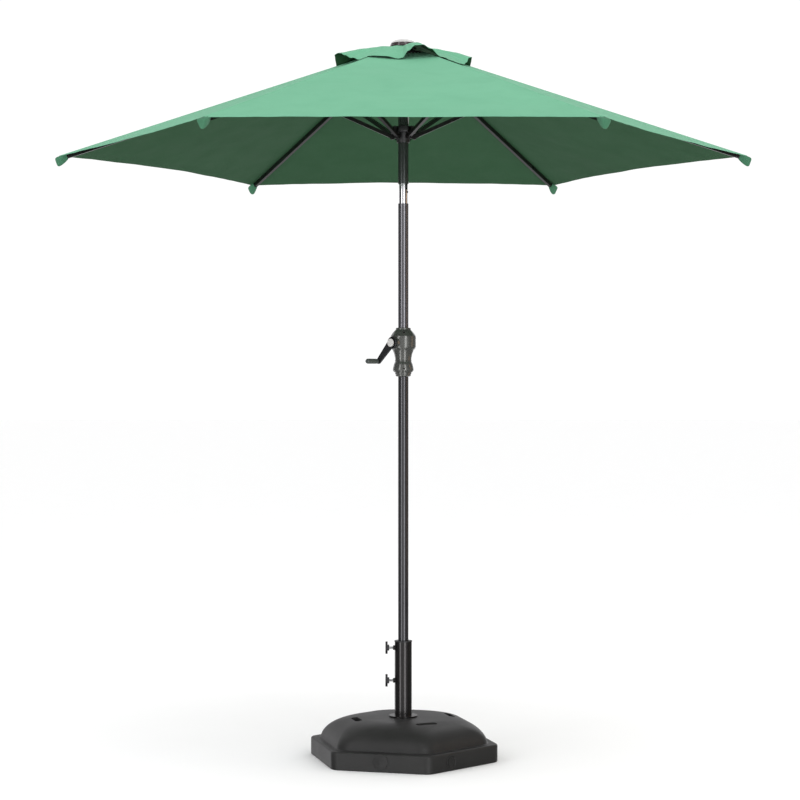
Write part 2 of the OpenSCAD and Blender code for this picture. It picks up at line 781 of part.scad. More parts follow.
base_tank();
base_fill();
socket_tube();
socket_flange();
socket_bush();
socket_nuts();
fill_plug();
lower_knob_screw();
lower_knob();
upper_knob_screw();
upper_knob();
lower_pole();
middle_pole();
crank_front_cover();
crank_rear_cover();
crank_cover_screws();
crank_bushes();
tilt_fork();
lift_cord_lower();
crank_axle();
cord_spool();
crank_handle();
crank_cap();
crank_grip();
tilt_knuckle();
tilt_pin();
upper_pole();
top_hub();
finial();
hub_pins();
lift_cord_upper();
lift_cord_fall();
tilt_button();
tilt_spring();
top_pulley();
runner();
for (k = [1 : rib_count]) {
    rib(k);
    strut(k);
    canopy(k);
    vent_flap(k);
}
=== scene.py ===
"""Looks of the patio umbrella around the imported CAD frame. Metres, +Z up."""
import json
import math

import bpy
from mathutils import Matrix, Vector, noise


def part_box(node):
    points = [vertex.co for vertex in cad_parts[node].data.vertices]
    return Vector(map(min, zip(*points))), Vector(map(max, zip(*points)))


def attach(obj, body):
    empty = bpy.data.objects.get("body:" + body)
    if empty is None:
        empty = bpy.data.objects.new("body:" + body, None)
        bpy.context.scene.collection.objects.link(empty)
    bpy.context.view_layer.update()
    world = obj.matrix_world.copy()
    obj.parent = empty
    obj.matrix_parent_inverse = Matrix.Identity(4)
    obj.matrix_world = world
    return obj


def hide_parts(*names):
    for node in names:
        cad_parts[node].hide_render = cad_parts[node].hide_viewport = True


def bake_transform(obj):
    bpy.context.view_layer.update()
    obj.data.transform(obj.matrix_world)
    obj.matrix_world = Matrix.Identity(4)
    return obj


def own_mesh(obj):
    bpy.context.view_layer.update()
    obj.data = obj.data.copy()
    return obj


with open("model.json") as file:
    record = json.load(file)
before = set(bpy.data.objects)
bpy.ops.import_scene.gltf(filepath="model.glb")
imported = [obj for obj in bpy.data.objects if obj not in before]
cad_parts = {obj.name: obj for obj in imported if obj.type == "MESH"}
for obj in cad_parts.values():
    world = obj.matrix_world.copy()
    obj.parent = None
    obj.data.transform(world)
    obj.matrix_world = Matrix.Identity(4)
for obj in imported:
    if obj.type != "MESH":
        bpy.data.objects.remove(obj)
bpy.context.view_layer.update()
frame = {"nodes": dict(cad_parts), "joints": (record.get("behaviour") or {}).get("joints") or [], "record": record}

NODES = frame["nodes"]
JOINTS = {j["name"]: j for j in frame["joints"]}
RIBS = 6
HALF = math.pi / RIBS  # half of the angle between two ribs


# ---------- small helpers ----------

def turned(point, angle):
    """The point turned about the pole axis."""
    return Matrix.Rotation(angle, 3, "Z") @ Vector(point)


def smooth(t):
    t = min(1.0, max(0.0, t))
    return t * t * (3 - 2 * t)


def mix(a, b, t):
    return a + (b - a) * t


def mesh_object(name, verts, faces, materials, shade_angle=math.radians(40)):
    mesh = bpy.data.meshes.new(name)
    mesh.from_pydata([tuple(v) for v in verts], [], faces)
    mesh.update()
    for material in materials:
        mesh.materials.append(material)
    obj = bpy.data.objects.new(name, mesh)
    bpy.context.scene.collection.objects.link(obj)
    soften(obj, shade_angle)
    return obj


def soften(obj, angle):
    """Smooth shading, with creases kept where faces meet at more than the angle."""
    obj.data.shade_smooth()
    obj.data.set_sharp_from_angle(angle=angle)


def modifier(obj, kind, **settings):
    made = obj.modifiers.new(kind.title(), kind)
    for key, value in settings.items():
        setattr(made, key, value)
    return made


def apply_modifiers(obj):
    """The object keeps the mesh that its modifiers make."""
    graph = bpy.context.evaluated_depsgraph_get()
    made = bpy.data.meshes.new_from_object(obj.evaluated_get(graph))
    obj.modifiers.clear()
    obj.data = made


def grid_faces(rows, cols, closed=False):
    """Quads of a grid of rows x cols points, its columns joined up in a ring if closed."""
    span = cols if closed else cols - 1
    return [(r * cols + c, r * cols + (c + 1) % cols, (r + 1) * cols + (c + 1) % cols, (r + 1) * cols + c)
            for r in range(rows - 1) for c in range(span)]


# ---------- camera ----------

CAMERA_PLACE = (-0.012, -7.5, 1.344)
CAMERA_LENS = 92.83
CAMERA_PITCH = math.radians(0.33)

camera_data = bpy.data.cameras.new("camera")
camera_data.lens = CAMERA_LENS
camera_data.sensor_width = 36
camera = bpy.data.objects.new("camera", camera_data)
camera.location = CAMERA_PLACE
camera.rotation_euler = (math.radians(90) - CAMERA_PITCH, 0, 0)
camera_data.clip_end = 400
bpy.context.scene.collection.objects.link(camera)
bpy.context.scene.camera = camera


# ---------- materials ----------

class Paint:
    """A node material around one principled shader."""

    def __init__(self, name, **sockets):
        self.material = bpy.data.materials.new(name)
        self.material.use_nodes = True
        self.tree = self.material.node_tree
        self.shader = self.tree.nodes["Principled BSDF"]
        self.place = self.tree.nodes.new("ShaderNodeTexCoord").outputs["Object"]
        self.height = None
        for key, value in sockets.items():
            self.shader.inputs[key.replace("_", " ")].default_value = value

    def node(self, kind, inputs=None, **settings):
        made = self.tree.nodes.new("ShaderNode" + kind)
        for key, value in settings.items():
            setattr(made, key, value)
        for key, value in (inputs or {}).items():
            self.set(made.inputs[key], value)
        return made

    def set(self, socket, value):
        if isinstance(value, bpy.types.NodeSocket):
            self.tree.links.new(value, socket)
        else:
            socket.default_value = value

    def scaled(self, scale, turn=(0, 0, 0), offset=(0, 0, 0)):
        return self.node("Mapping", {"Vector": self.place, "Scale": scale, "Rotation": turn,
                                     "Location": offset}).outputs["Vector"]

    def noise(self, scale, detail=3, rough=0.5, vector=None, distortion=0.0):
        return self.node("TexNoise", {"Vector": vector or self.place, "Scale": scale, "Detail": detail,
                                      "Roughness": rough, "Distortion": distortion}).outputs["Fac"]

    def wave(self, scale, direction="X", distortion=0.0, vector=None):
        return self.node("TexWave", {"Vector": vector or self.place, "Scale": scale,
                                     "Distortion": distortion, "Detail": 1.0},
                         bands_direction=direction).outputs["Fac"]

    def math(self, operation, a, b=0.0, c=0.0, clamp=False):
        made = self.node("Math", operation=operation, use_clamp=clamp)
        for socket, value in zip(made.inputs, (a, b, c)):
            self.set(socket, value)
        return made.outputs["Value"]

    def ramp(self, fac, low, high, a=0.0, b=1.0):
        return self.node("MapRange", {"Value": fac, "From Min": a, "From Max": b,
                                      "To Min": low, "To Max": high}).outputs["Result"]

    def colour(self, fac, a, b, low=0.0, high=1.0):
        """Colour a where fac is low, b where it is high."""
        share = self.ramp(fac, 0.0, 1.0, low, high)
        made = self.node("Mix", data_type="RGBA")
        self.set(made.inputs["Factor"], share)
        self.set(made.inputs[6], a if isinstance(a, bpy.types.NodeSocket) else (*a, 1))
        self.set(made.inputs[7], b if isinstance(b, bpy.types.NodeSocket) else (*b, 1))
        return made.outputs[2]

    def base(self, colour):
        self.set(self.shader.inputs["Base Color"], colour)

    def rough(self, fac, low, high):
        self.set(self.shader.inputs["Roughness"], self.ramp(fac, low, high, 0.25, 0.75))

    def bump(self, height, distance, strength=1.0):
        """Adds a layer of bump on top of those before it."""
        made = self.node("Bump", {"Height": height, "Distance": distance, "Strength": strength})
        if self.height:
            self.set(made.inputs["Normal"], self.height)
        self.height = made.outputs["Normal"]
        self.set(self.shader.inputs["Normal"], self.height)


def scale_colour(colour, k):
    return tuple(c * k for c in colour)


def fabric(name, colour, thread=0.0011, sheen=0.04):
    """Plain-woven canopy cloth: warp and weft threads, faint uneven dye, soft creases."""
    paint = Paint(name, Sheen_Weight=sheen, Sheen_Roughness=0.4, Specular_IOR_Level=0.25)
    slanted = paint.scaled((1, 1, 1), turn=(0, 0, math.radians(20)))
    warp = paint.wave(0.5 / thread / math.pi, "X", vector=slanted)
    weft = paint.wave(0.5 / thread / math.pi, "Y", vector=slanted)
    weave = paint.math("MULTIPLY", warp, weft)
    cloud = paint.noise(2.2, detail=4)
    streak = paint.noise(9, detail=5, vector=paint.scaled((1, 1, 0.35)))
    dyed = paint.colour(cloud, scale_colour(colour, 0.95), scale_colour(colour, 1.05), 0.3, 0.7)
    aged = paint.colour(streak, dyed, scale_colour(colour, 0.9), 0.45, 0.85)
    paint.base(paint.colour(weave, scale_colour(colour, 0.93), aged, -0.2, 0.35))
    paint.rough(streak, 0.72, 0.86)
    paint.bump(weave, 0.0002, 0.5)
    paint.bump(paint.noise(26, detail=3), 0.0016, 0.5)
    return paint.material


def painted_steel(name, colour, metal=0.8, rough=(0.14, 0.24)):
    """Powder-coated tube: fine orange peel, metal flake, faint rubbed streaks along the tube."""
    paint = Paint(name, Metallic=metal, Coat_Weight=0.25, Coat_Roughness=0.12)
    flake = paint.noise(900, detail=2)
    peel = paint.noise(160, detail=2)
    streak = paint.noise(40, detail=4, vector=paint.scaled((1, 1, 0.06)))
    tone = paint.colour(streak, scale_colour(colour, 0.9), scale_colour(colour, 1.1), 0.3, 0.7)
    paint.base(paint.colour(flake, tone, scale_colour(colour, 1.2), 0.5, 0.9))
    paint.rough(streak, *rough)
    paint.bump(peel, 0.000008, 0.05)
    return paint.material


def bare_metal(name, colour, rough=(0.1, 0.22), grain=0.15, along=(1, 1, 1)):
    """Chrome or bright steel: fine grain, cloudy smudges."""
    paint = Paint(name, Metallic=1.0)
    smudge = paint.noise(35, detail=5, distortion=0.4)
    line = paint.noise(700, detail=2, vector=paint.scaled(along))
    paint.base(paint.colour(smudge, scale_colour(colour, 0.88), colour, 0.3, 0.65))
    paint.rough(smudge, *rough)
    paint.bump(line, 0.0001, grain)
    return paint.material


def moulded(name, colour, rough=(0.35, 0.5), grain=0.0005, strength=0.3, metal=0.0, coat=0.0, spec=0.5):
    """Moulded plastic: leather-like texture, slow colour drift, fine scuffs."""
    paint = Paint(name, Metallic=metal, Coat_Weight=coat, Coat_Roughness=0.08, Specular_IOR_Level=spec)
    cell = paint.node("TexVoronoi", {"Vector": paint.place, "Scale": 0.55 / grain},
                      feature="SMOOTH_F1").outputs["Distance"]
    drift = paint.noise(7, detail=3)
    scuff = paint.noise(120, detail=6, rough=0.7, vector=paint.scaled((1, 0.25, 0.5)))
    tone = paint.colour(drift, scale_colour(colour, 0.88), scale_colour(colour, 1.12), 0.3, 0.7)
    paint.base(paint.colour(scuff, tone, scale_colour(colour, 1.3), 0.62, 0.95))
    paint.rough(drift, *rough)
    paint.bump(cell, grain, strength)
    return paint.material


def split_by_height(name, low_colour, high_colour, z, band, rough):
    """Two-tone moulding whose colour changes at a height."""
    paint = Paint(name, Coat_Weight=0.5, Coat_Roughness=0.06)
    axis = paint.node("SeparateXYZ", {"Vector": paint.place}).outputs["Z"]
    drift = paint.noise(60, detail=4)
    upper = paint.colour(drift, scale_colour(high_colour, 0.9), scale_colour(high_colour, 1.08), 0.3, 0.7)
    paint.base(paint.colour(axis, low_colour, upper, z - band, z + band))
    paint.rough(drift, *rough)
    paint.bump(paint.noise(300, detail=2), 0.0002, 0.2)
    return paint.material


def braided(name, colour, pitch=0.003):
    """White braid of the lift cord."""
    paint = Paint(name, Sheen_Weight=0.2)
    one = paint.wave(1 / pitch / math.pi, "Z", vector=paint.scaled((1, 1, 1), turn=(0.6, 0, 0)))
    two = paint.wave(1 / pitch / math.pi, "Z", vector=paint.scaled((1, 1, 1), turn=(-0.6, 0, 0)))
    braid = paint.math("MAXIMUM", one, two)
    paint.base(paint.colour(braid, scale_colour(colour, 0.7), colour, 0.2, 0.8))
    paint.rough(braid, 0.7, 0.85)
    paint.bump(braid, 0.0004, 0.6)
    return paint.material


def grains(name, colour):
    """Sand or water fill, out of sight in the tank."""
    paint = Paint(name)
    speck = paint.noise(600, detail=4)
    paint.base(paint.colour(speck, scale_colour(colour, 0.6), colour, 0.35, 0.65))
    paint.rough(speck, 0.8, 0.95)
    paint.bump(speck, 0.0006, 0.5)
    return paint.material


GREEN = (0.136, 0.390, 0.240)
# the canopy's inner face: the same green cloth made several times darker, painted shade for the underside that the
# lights above don't reach
GREEN_INSIDE_PAINTED_SHADE = (0.022, 0.080, 0.033)
# the tip pockets: the canopy's green made darker, painted shade for the folded pockets hanging below the hem
GREEN_POCKET_PAINTED_SHADE = (0.050, 0.165, 0.092)

cloth_outside = fabric("canopy_cloth_outside", GREEN)
# the inner cloth carries painted shade in its colour
painted_shade_cloth_inside = fabric("canopy_painted_shade_cloth_inside", GREEN_INSIDE_PAINTED_SHADE, sheen=0.0)
# the pocket cloth carries painted shade in its colour
painted_shade_cloth_pocket = fabric("canopy_painted_shade_cloth_pocket", GREEN_POCKET_PAINTED_SHADE)
pole_metal = painted_steel("pole_metal", (0.070, 0.070, 0.075))
# the middle pole: a lighter copy of the pole paint, painted light standing in for the brighter reflections on this
# length of pole
middle_metal_painted_light = painted_steel("middle_metal_painted_light", (0.150, 0.148, 0.160), rough=(0.12, 0.2))
# the upper pole: a copy of the pole paint with its tone set for the light under the canopy, painted light and
# shade
upper_metal_painted_light = painted_steel("upper_metal_painted_light", (0.085, 0.090, 0.090))
tube_metal = painted_steel("tube_metal", (0.038, 0.036, 0.036), rough=(0.16, 0.24))
frame_metal = painted_steel("frame_metal", (0.012, 0.011, 0.011), metal=0.4, rough=(0.26, 0.36))
base_plastic = moulded("base_plastic", (0.024, 0.024, 0.0235), rough=(0.36, 0.46), grain=0.0012, strength=0.2,
                       spec=0.22)
housing_plastic = moulded("housing_plastic", (0.105, 0.108, 0.100), rough=(0.2, 0.28), grain=0.0004,
                          strength=0.02, metal=0.5, coat=0.5)
black_plastic = moulded("black_plastic", (0.014, 0.014, 0.015), rough=(0.3, 0.42))
knob_plastic = moulded("knob_plastic", (0.016, 0.015, 0.018), rough=(0.3, 0.42), strength=0.15)
grip_plastic = moulded("grip_plastic", (0.060, 0.072, 0.066), rough=(0.42, 0.55), grain=0.0009)
white_plastic = moulded("white_plastic", (0.66, 0.65, 0.60), rough=(0.4, 0.55), strength=0.15)
cap_plastic = moulded("cap_plastic", (0.55, 0.54, 0.52), rough=(0.2, 0.3), strength=0.1, coat=0.4)
chrome = bare_metal("chrome", (0.80, 0.80, 0.82), rough=(0.06, 0.16))
bright_steel = bare_metal("bright_steel", (0.62, 0.62, 0.63), rough=(0.22, 0.34), grain=0.4,
                          along=(1, 1, 0.1))
cord_white = braided("cord_white", (0.72, 0.71, 0.68))
sand = grains("sand_fill", (0.50, 0.40, 0.22))

finial_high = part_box("finial")[1]
FINIAL_EDGE = finial_high.z - 0.0125  # height where the finial's dark ring meets its pale cap
finial_plastic = split_by_height("finial_plastic", (0.040, 0.026, 0.028), (0.55, 0.54, 0.53), FINIAL_EDGE,
                                 0.0006, (0.12, 0.2))

NODE_MATERIALS = {
    "pole_metal": pole_metal, "frame_metal": frame_metal, "base_plastic": base_plastic, "sand_fill": sand,
    "housing_plastic": housing_plastic, "black_plastic": black_plastic, "grip_plastic": grip_plastic,
    "finial_plastic": finial_plastic, "cap_plastic": cap_plastic, "white_plastic": white_plastic,
    "chrome": chrome, "bright_steel": bright_steel, "cord": cord_white, "canopy_fabric": cloth_outside}
# the middle and upper poles take copies of the pole paint with painted light and shade in their tones
OWN_MATERIALS = {
    "socket_tube": tube_metal, "socket_flange": frame_metal, "middle_pole": middle_metal_painted_light,
    "upper_pole": upper_metal_painted_light, "lower_knob": knob_plastic,
    "upper_knob": knob_plastic, "socket_nuts": tube_metal}

slots = {p["node"]: p["material_slot"] for p in frame["record"]["subparts"]}
for node_name, node in NODES.items():
    for index in range(len(node.material_slots)):
        node.material_slots[index].material = OWN_MATERIALS.get(node_name, NODE_MATERIALS[slots[node_name]])


# ---------- canopy ----------

rib_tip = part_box("rib_1")[1].x
pin = Vector(JOINTS["rib_1_fold"]["pos_m"])
ridge = sorted((v.co for v in NODES["canopy_1"].data.vertices if abs(v.co.y) < 0.001), key=lambda p: p.x)
ridge_in = max((p for p in ridge if p.x < ridge[0].x + 0.002), key=lambda p: p.z)
ridge_out = max((p for p in ridge if p.x > rib_tip - 0.02), key=lambda p: p.z)
RIDGE_SLOPE = (ridge_in.z - ridge_out.z) / (ridge_out.x - ridge_in.x)
PANEL_SLOPE = RIDGE_SLOPE / math.cos(HALF)
APEX = ridge_in.z + ridge_in.x * RIDGE_SLOPE  # height of the fabric's top, carried on to the pole axis
REACH = ridge_out.x * math.cos(HALF)  # from the axis to the straight line between two rib tips
OPENING = ridge_in.x * math.cos(HALF)
HEM_DRAW = 0.040
SHEET = 0.0011
PANEL_SAG = 0.008
SEAM_STEPS = (0.0, 0.003, 0.0055, 0.0065, 0.010)


def panel_point(depth, along):
    """A point of the half panel on the +Y side of rib 1: depth from the axis, along from the rib line."""
    out = Vector((math.cos(HALF), math.sin(HALF)))
    side = Vector((-math.sin(HALF), math.cos(HALF)))
    return out * depth + side * (along - depth * math.tan(HALF))


def hem_depth(share):
    """The hem's distance from the axis, at a share of the way from a rib to the middle of its panel."""
    return REACH - HEM_DRAW * (1 - (1 - share) ** 2)


def crease(point, depth, share):
    """How far the cloth stands off its flat panel: slack between the ribs, creases and a wavy hem."""
    free = 1 - (1 - share) ** 2
    out = (depth - OPENING) / (REACH - OPENING)
    sag = -PANEL_SAG * free * (0.35 + 0.65 * smooth(out))
    ripple = 0.0028 * noise.noise(Vector((point.x * 3.1, point.y * 3.1, 7.0)))
    ripple += 0.0012 * noise.noise(Vector((point.x * 9.5, point.y * 9.5, 3.0)))
    angle = math.atan2(point.y, point.x)
    hem_wave = 0.0022 * noise.noise(Vector((angle * 9, 2.0, 0.5))) * smooth((out - 0.86) / 0.14)
    pull = 0.0016 * math.sin(share * 46 + out * 9) * (1 - share) ** 3 * smooth((out - 0.55) / 0.45)
    gather = 0.0018 * math.sin(angle * 78) * (1 - smooth(out / 0.12))
    return sag + free * (ripple + hem_wave + gather) + pull * free


def seam_rise(along):
    """The doubled cloth of the seam over a rib stands a little proud."""
    return 0.0009 * (1 - smooth((abs(along) - 0.0055) / 0.0012))


def columns(count):
    """Signed column keys from one middle line, over the rib, to the other."""
    steps = len(SEAM_STEPS)
    keys = list(range(-(steps + count - 1), steps + count))
    return keys


def column_place(key, depth, count):
    """How far a column lies from the rib line at this depth, and its share of the half panel."""
    steps = len(SEAM_STEPS)
    full = depth * math.tan(HALF)
    k = abs(key)
    if k < steps:
        along = SEAM_STEPS[k]
    else:
        along = mix(SEAM_STEPS[-1], full, (k - steps + 1) / count)
    return along, along / full


def cloth_sector(name, angle, inner, rows, count, outer, height, lift):
    """One open grid of cloth over a rib, from mid-panel to mid-panel. outer gives the edge's depth."""
    verts = []
    keys = columns(count)
    for r in range(rows + 1):
        v = r / rows
        for key in keys:
            side = -1 if key < 0 else 1
            depth = inner
            for _ in range(3):
                along, share = column_place(key, depth, count)
                depth = mix(inner, outer(share, side), v)
            along, share = column_place(key, depth, count)
            flat = panel_point(depth, along)
            flat.y *= side
            world = turned((flat.x, flat.y, 0), angle)
            z = height(world, depth, share, side, v) + lift(along)
            verts.append(Vector((world.x, world.y, z)))
    faces = [tuple(reversed(f)) for f in grid_faces(rows + 1, len(keys))]
    return mesh_object(name, verts, faces, [cloth_outside, painted_shade_cloth_inside], math.radians(75))


# the sheet's inner face takes the second material, the darker cloth with painted shade
def thicken(obj, thickness=SHEET):
    modifier(obj, "SOLIDIFY", thickness=thickness, offset=-1.0, material_offset=1, material_offset_rim=0,
             use_even_offset=False)
    apply_modifiers(obj)
    soften(obj, math.radians(60))


def canopy_height(world, depth, share, side, v):
    return APEX - PANEL_SLOPE * depth + crease(world, depth, share)


def fold_with(piece, k, cad_node):
    """The cloth rides on its rib, with a mesh of its own, and its CAD node is hidden."""
    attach(piece, f"rib_{k}")
    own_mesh(piece)
    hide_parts(cad_node)


CANOPY_ROWS = 84
CANOPY_COLUMNS = 44
for k in range(1, RIBS + 1):
    angle = (k - 1) * 2 * HALF
    piece = cloth_sector(f"canopy_cloth_{k}", angle, OPENING, CANOPY_ROWS, CANOPY_COLUMNS,
                         lambda share, side: hem_depth(share), canopy_height, seam_rise)
    thicken(piece)
    fold_with(piece, k, f"canopy_{k}")


# ---------- vent flap ----------

flap_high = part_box("vent_flap_1")[1]
FLAP_INNER = (finial_high.x - 0.004) * math.cos(HALF)
FLAP_REACH = flap_high.x * math.cos(HALF)
FLAP_TOP = max(v.co.z for v in NODES["top_hub"].data.vertices) + 0.0022
# how far the flap's edge stands off the canopy, in metres, at angles in degrees round the pole:
# judged in front, guessed behind
FLAP_GAPS = ((0, 0.034), (1.6, 0.016), (3.4, 0.003), (30, 0.0015), (45, 0.008), (60, 0.018), (75, 0.010),
             (90, 0.0015), (105, 0.020), (120, 0.030), (136, 0.012), (150, 0.0015), (176.5, 0.002),
             (178.3, 0.020), (180, 0.043), (189, 0.044), (200, 0.042), (209, 0.034), (219, 0.016),
             (229, 0.0015), (236, 0.0015), (246, 0.006), (256, 0.007), (266, 0.0015), (269, 0.004),
             (274, 0.028), (280, 0.046), (287, 0.048), (294, 0.030), (301, 0.003), (308, 0.005), (316, 0.0015),
             (335, 0.0015), (345, 0.014), (353, 0.032), (360, 0.034))
FLAP_LOOSE = 0.008  # slack between the flap's top and its hem
FLAP_BULGE = 0.022  # the hem reaches further out in the middle of a panel
FLAP_ROWS = 34
FLAP_COLUMNS = 40


def flap_gap(degrees):
    degrees %= 360
    for (a, low), (b, high) in zip(FLAP_GAPS, FLAP_GAPS[1:]):
        if a <= degrees <= b:
            return mix(low, high, smooth((degrees - a) / (b - a)))
    return FLAP_GAPS[0][1]


def flap_height(world, depth, share, side, v):
    degrees = math.degrees(math.atan2(world.y, world.x))
    under = APEX - PANEL_SLOPE * depth + crease(world, depth, share)
    hem = FLAP_REACH + FLAP_BULGE * smooth(share)
    edge = APEX - PANEL_SLOPE * hem + SHEET + flap_gap(degrees)
    loose = math.sin(math.pi * min(1.0, v)) * FLAP_LOOSE
    straight = mix(FLAP_TOP, edge, v) + loose
    wrinkle = noise.noise(Vector((world.x * 16, world.y * 16, 1.0))) * 0.005
    wrinkle += noise.noise(Vector((world.x * 38, world.y * 38, 5.0))) * 0.0012
    z = straight + wrinkle * smooth(v / 0.3)
    return max(z, under + SHEET + 0.0006) if v > 0.2 else z


for k in range(1, RIBS + 1):
    angle = (k - 1) * 2 * HALF
    piece = cloth_sector(f"vent_flap_cloth_{k}", angle, FLAP_INNER, FLAP_ROWS, FLAP_COLUMNS,
                         lambda share, side: FLAP_REACH + FLAP_BULGE * smooth(share), flap_height,
                         lambda along: 0.5 * seam_rise(along))
    thicken(piece, 0.0009)
    fold_with(piece, k, f"vent_flap_{k}")


# ---------- pockets over the rib tips ----------

rib_drop = math.atan(RIDGE_SLOPE)
RIB_LENGTH = (rib_tip - pin.x) / math.cos(rib_drop)
POCKET_WALL = 0.0012
# stations along the rib from its tip: distance, half width above, half width below, top, depth
POCKET_ROWS = ((-0.034, 0.0125, 0.0060, 0.0090, 0.010), (-0.028, 0.0145, 0.0065, 0.0092, 0.014),
               (-0.018, 0.0175, 0.0070, 0.0092, 0.019), (-0.008, 0.0195, 0.0075, 0.0090, 0.023),
               (0.001, 0.0205, 0.0075, 0.0086, 0.0255), (0.007, 0.0195, 0.0070, 0.0074, 0.0255),
               (0.0105, 0.0160, 0.0060, 0.0050, 0.024), (0.0120, 0.0090, 0.0040, 0.0000, 0.019))


def pocket_ring(x, upper, lower, top, depth, shrink, count=32):
    """An upright ring across the rib at x, wider below than above, with soft corners."""
    ring = []
    for n in range(count):
        t = 2 * math.pi * n / count
        c, s = math.cos(t), math.sin(t)
        rise = math.copysign(abs(s) ** 0.5, s)
        half = mix(lower, upper, (rise + 1) / 2) - shrink
        z = mix(-depth + shrink, top - 0.5 * shrink, (rise + 1) / 2)
        fold = 0.0008 * math.sin(3 * t + 60 * x)
        ring.append(Vector((x, (half + fold) * math.copysign(abs(c) ** 0.6, c), z)))
    return ring


def pocket(k):
    """A sewn wedge of cloth over the rib's tip, open towards the hub, whose skirt hangs below."""
    outer = [pocket_ring(RIB_LENGTH + row[0], *row[1:], 0.0) for row in POCKET_ROWS]
    inner = [pocket_ring(RIB_LENGTH + row[0] - (POCKET_WALL if row[0] > 0 else 0), *row[1:], POCKET_WALL)
             for row in POCKET_ROWS]
    rings = list(reversed(inner)) + outer
    count = len(outer[0])
    verts = [p for ring in rings for p in ring]
    faces = [tuple(reversed(f)) for f in grid_faces(len(rings), count, closed=True)]
    faces.append(tuple(range(count)))
    faces.append(tuple(reversed(range(len(verts) - count, len(verts)))))
    frame_of_rib = (Matrix.Rotation((k - 1) * 2 * HALF, 4, "Z") @ Matrix.Translation(pin)
                    @ Matrix.Rotation(rib_drop, 4, "Y"))
    piece = mesh_object(f"tip_pocket_{k}", [frame_of_rib @ v for v in verts], faces, [painted_shade_cloth_pocket],
                        math.radians(50))
    modifier(piece, "SUBSURF", levels=1, render_levels=1)
    apply_modifiers(piece)
    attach(piece, f"rib_{k}")


for k in range(1, RIBS + 1):
    pocket(k)


# ---------- base shell ----------

base_low, base_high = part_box("base_tank")
CORNER = 0.040
BASE_R = (base_high.x - CORNER) / math.cos(math.radians(15)) + CORNER / math.cos(HALF)
RIM_H = 0.064
FOOT = 0.034
SLOT_R = 0.176
SLOT_ANGLES = (16, 118, 196, 298)
SLOT_W, SLOT_L = 0.024, 0.084


def hex_ring(radius, corner, z, steps=12):
    ring = []
    for k in range(6):
        a = math.radians(165 + 60 * k)
        m = radius - corner / math.cos(HALF)
        for s in range(steps + 1):
            t = a - HALF + 2 * HALF * s / steps
            ring.append(Vector((m * math.cos(a) + corner * math.cos(t),
                                m * math.sin(a) + corner * math.sin(t), z)))
    return ring


def dome_outline(u):
    radius = (BASE_R - FOOT) * (1 - 0.5 * u ** 1.8)
    corner = CORNER + (radius * math.cos(HALF) - CORNER) * (0.12 + 0.87 * u ** 2.2)
    return radius, corner, RIM_H + (base_high.z - RIM_H) * math.sin(math.pi / 2 * u)


def base_shell():
    """The tank's skin: rim with rounded edges, a ledge, and a dome that flows up to a flat top."""
    rings = []
    foot, shoulder = 0.004, 0.007
    for n in range(5):
        t = n / 4 * math.pi / 2
        inset = foot * (1 - math.sin(t))
        rings.append(hex_ring(BASE_R - inset, CORNER - inset, base_low.z + foot * (1 - math.cos(t))))
    for n in range(7):
        t = n / 6 * math.pi / 2
        inset = shoulder * (1 - math.cos(t))
        rings.append(hex_ring(BASE_R - inset, CORNER - inset, RIM_H - shoulder + shoulder * math.sin(t)))
    levels = 26
    first_r, first_c, _ = dome_outline(0.0)
    fillet = 0.010
    rings.append(hex_ring(first_r + fillet, first_c * 0.98, RIM_H))
    for n in range(1, 4):
        t = n / 4
        r, c, z = dome_outline(0.02 + 0.05 * t)
        rings.append(hex_ring(r + fillet * (1 - t) ** 2 * 0.9, c, RIM_H + (z - RIM_H) * t * t))
    for n in range(2, levels + 1):
        rings.append(hex_ring(*dome_outline(n / levels)))
    count = len(rings[0])
    verts = [p for ring in rings for p in ring]
    faces = grid_faces(len(rings), count, closed=True)
    faces.append(tuple(reversed(range(count))))
    faces.append(tuple(range(len(verts) - count, len(verts))))
    return mesh_object("base_shell", verts, faces, [base_plastic], math.radians(38))


def stadium(width, length, steps=14):
    """Outline of a slot with round ends, long along Y."""
    reach, r = (length - width) / 2, width / 2
    points = []
    for sign in (1, -1):
        for n in range(steps + 1):
            t = math.pi * n / steps if sign > 0 else math.pi * (1 + n / steps)
            points.append((r * math.cos(t), sign * reach + r * math.sin(t)))
    return points


def prism(name, outline, low, high, place):
    """A closed upright prism through the outline, for cutting."""
    count = len(outline)
    verts = [place @ Vector((x, y, z)) for z in (low, high) for x, y in outline]
    faces = grid_faces(2, count, closed=True)
    faces += [tuple(reversed(range(count))), tuple(range(count, 2 * count))]
    return mesh_object(name, verts, faces, [base_plastic])


def cut(obj, tool):
    made = modifier(obj, "BOOLEAN", object=tool, operation="DIFFERENCE", solver="EXACT")
    made.material_mode = "INDEX"
    apply_modifiers(obj)
    bpy.data.objects.remove(tool)


shell = base_shell()
for degrees in SLOT_ANGLES:
    place = Matrix.Rotation(math.radians(degrees), 4, "Z") @ Matrix.Translation((SLOT_R, 0, 0))
    cut(shell, prism("slot_cutter", stadium(SLOT_W, SLOT_L), base_low.z - 0.01, base_high.z + 0.01, place))
SOCKET_HOLE_R = 0.033
socket_hole = [(SOCKET_HOLE_R * math.cos(2 * math.pi * n / 64),
                SOCKET_HOLE_R * math.sin(2 * math.pi * n / 64)) for n in range(64)]
cut(shell, prism("socket_cutter", socket_hole, base_low.z + 0.006, base_high.z + 0.01, Matrix.Identity(4)))
modifier(shell, "WELD", merge_threshold=0.00005)
modifier(shell, "BEVEL", width=0.0026, segments=3, limit_method="ANGLE", angle_limit=math.radians(50),
         harden_normals=True)
apply_modifiers(shell)
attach(shell, "base")
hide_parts("base_tank")


